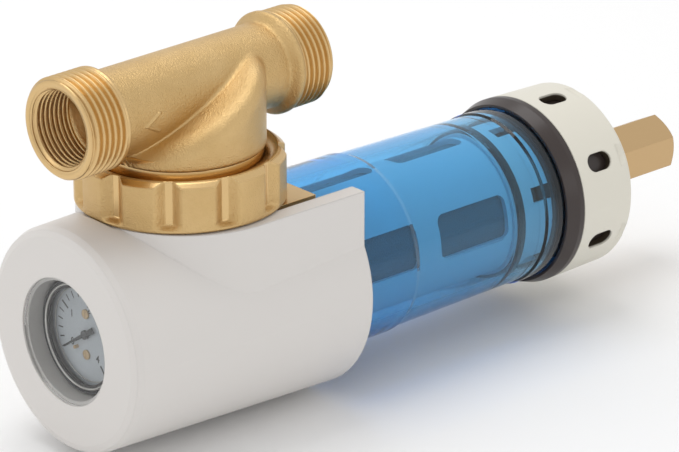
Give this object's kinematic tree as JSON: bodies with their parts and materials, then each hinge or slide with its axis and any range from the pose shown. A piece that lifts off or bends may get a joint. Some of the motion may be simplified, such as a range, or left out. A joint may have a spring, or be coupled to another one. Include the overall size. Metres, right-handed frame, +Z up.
{
  "type": "magnetic system filter",
  "caption": "Brass pipe tee and union carrying a white head with a pressure gauge, a clear blue strainer bowl, a drain wheel and a magnet plug.",
  "frame": {"origin": "where the pipe run's axis crosses the union's axis, inside the tee", "axes": "+Z up the union, away from the bowl; +Y along the filter's axis from the gauge to the magnet plug's hexagon; +X to the right seen from the gauge"},
  "size_m": [0.0804, 0.2706, 0.1304],
  "materials": {
    "cast_brass": "sand cast, satin",
    "turned_brass": "machined, bright",
    "spring_steel": "satin",
    "seal_rubber": "matte",
    "cover_white": "satin",
    "clear_lens": "clear",
    "gauge_steel": "satin",
    "gauge_dark": "satin",
    "dial_white": "matte",
    "hand_black": "matte",
    "bowl_blue": "clear, polished",
    "strainer_grey": "satin",
    "strainer_mesh": "woven",
    "cap_brown": "gloss",
    "wheel_cream": "satin",
    "magnet_nickel": "plated",
    "fibre": "matte"
  },
  "bodies": {
    "tee": {"tee_body": "cast_brass", "nut_retaining_ring": "spring_steel", "neck_o_ring": "seal_rubber", "spigot_o_ring": "seal_rubber"},
    "nut": {"union_nut": "cast_brass"},
    "union_seal": {"union_gasket": "seal_rubber"},
    "filter": {"head_body": "turned_brass", "cover_shell": "cover_white", "cover_screws": "spring_steel", "window_lens": "clear_lens", "gauge_case": "gauge_steel", "gauge_bezel": "gauge_dark", "gauge_glass": "clear_lens", "gauge_dial": "dial_white", "dial_screws": "turned_brass", "stop_pin": "turned_brass", "gauge_socket": "turned_brass", "socket_washer": "seal_rubber", "bourdon_tube": "turned_brass", "movement_frame": "turned_brass"},
    "gauge_hand": {"pointer": "hand_black", "pinion": "turned_brass"},
    "gauge_sector": {"sector_gear": "turned_brass", "gauge_link": "spring_steel"},
    "bowl_seal": {"bowl_o_ring": "seal_rubber"},
    "bowl_group": {"bowl": "bowl_blue", "strainer_frame": "strainer_grey", "strainer_mesh": "strainer_mesh", "strainer_cap": "strainer_grey", "strainer_o_ring": "seal_rubber", "strainer_gasket": "seal_rubber", "magnet_pocket": "spring_steel", "pocket_o_ring": "seal_rubber", "end_cap": "cap_brown", "end_cap_o_ring": "seal_rubber", "wheel_o_rings": "seal_rubber", "wheel_clip": "spring_steel"},
    "wheel": {"drain_wheel": "wheel_cream"},
    "plug_ring": {"plug_washer": "fibre"},
    "plug_seal": {"plug_o_ring": "seal_rubber"},
    "plug": {"magnet_plug": "turned_brass", "magnet_stack": "magnet_nickel"}
  },
  "joints": [
    {"name": "nut_turn", "type": "hinge", "parent": "tee", "child": "nut", "pos_m": [0, 0, -0.026], "axis": [0, 0, 1], "range_deg": [0, 2160]},
    {"name": "head_drop", "type": "slide", "parent": "tee", "child": "union_seal", "axis": [0, 0, -1], "range_m": [0, 0.0139]},
    {"name": "filter_swivel", "type": "hinge", "parent": "union_seal", "child": "filter", "pos_m": [0, 0, -0.0376], "axis": [0, 0, 1], "continuous": true},
    {"name": "pointer_turn", "type": "hinge", "parent": "filter", "child": "gauge_hand", "pos_m": [0, -0.038, -0.0722], "axis": [0, 1, 0], "range_deg": [0, 265]},
    {"name": "sector_turn", "type": "hinge", "parent": "filter", "child": "gauge_sector", "pos_m": [0.00359, -0.036, -0.08207], "axis": [0, 1, 0], "range_deg": [-45, 0]},
    {"name": "bowl_travel", "type": "slide", "parent": "filter", "child": "bowl_seal", "axis": [0, 1, 0], "range_m": [0, 0.012]},
    {"name": "bowl_turn", "type": "hinge", "parent": "bowl_seal", "child": "bowl_group", "pos_m": [0, 0.03, -0.0722], "axis": [0, 1, 0], "range_deg": [0, 1080]},
    {"name": "wheel_turn", "type": "hinge", "parent": "bowl_group", "child": "wheel", "pos_m": [0, 0.16, -0.0722], "axis": [0, 1, 0], "range_deg": [0, 26]},
    {"name": "magnet_pull", "type": "slide", "parent": "bowl_group", "child": "plug_ring", "axis": [0, 1, 0], "range_m": [0, 0.13]},
    {"name": "plug_travel", "type": "slide", "parent": "plug_ring", "child": "plug_seal", "axis": [0, 1, 0], "range_m": [0, 0.012]},
    {"name": "plug_turn", "type": "hinge", "parent": "plug_seal", "child": "plug", "pos_m": [0, 0.18, -0.0722], "axis": [0, 1, 0], "range_deg": [0, 2880]}
  ],
  "couplings": [
    {"joint": "head_drop", "follows": "nut_turn", "m_per_rad": 0.00036749},
    {"joint": "sector_turn", "follows": "pointer_turn", "ratio": -0.16667},
    {"joint": "bowl_travel", "follows": "bowl_turn", "m_per_rad": 0.00063661},
    {"joint": "plug_travel", "follows": "plug_turn", "m_per_rad": 0.00023873}
  ]
}
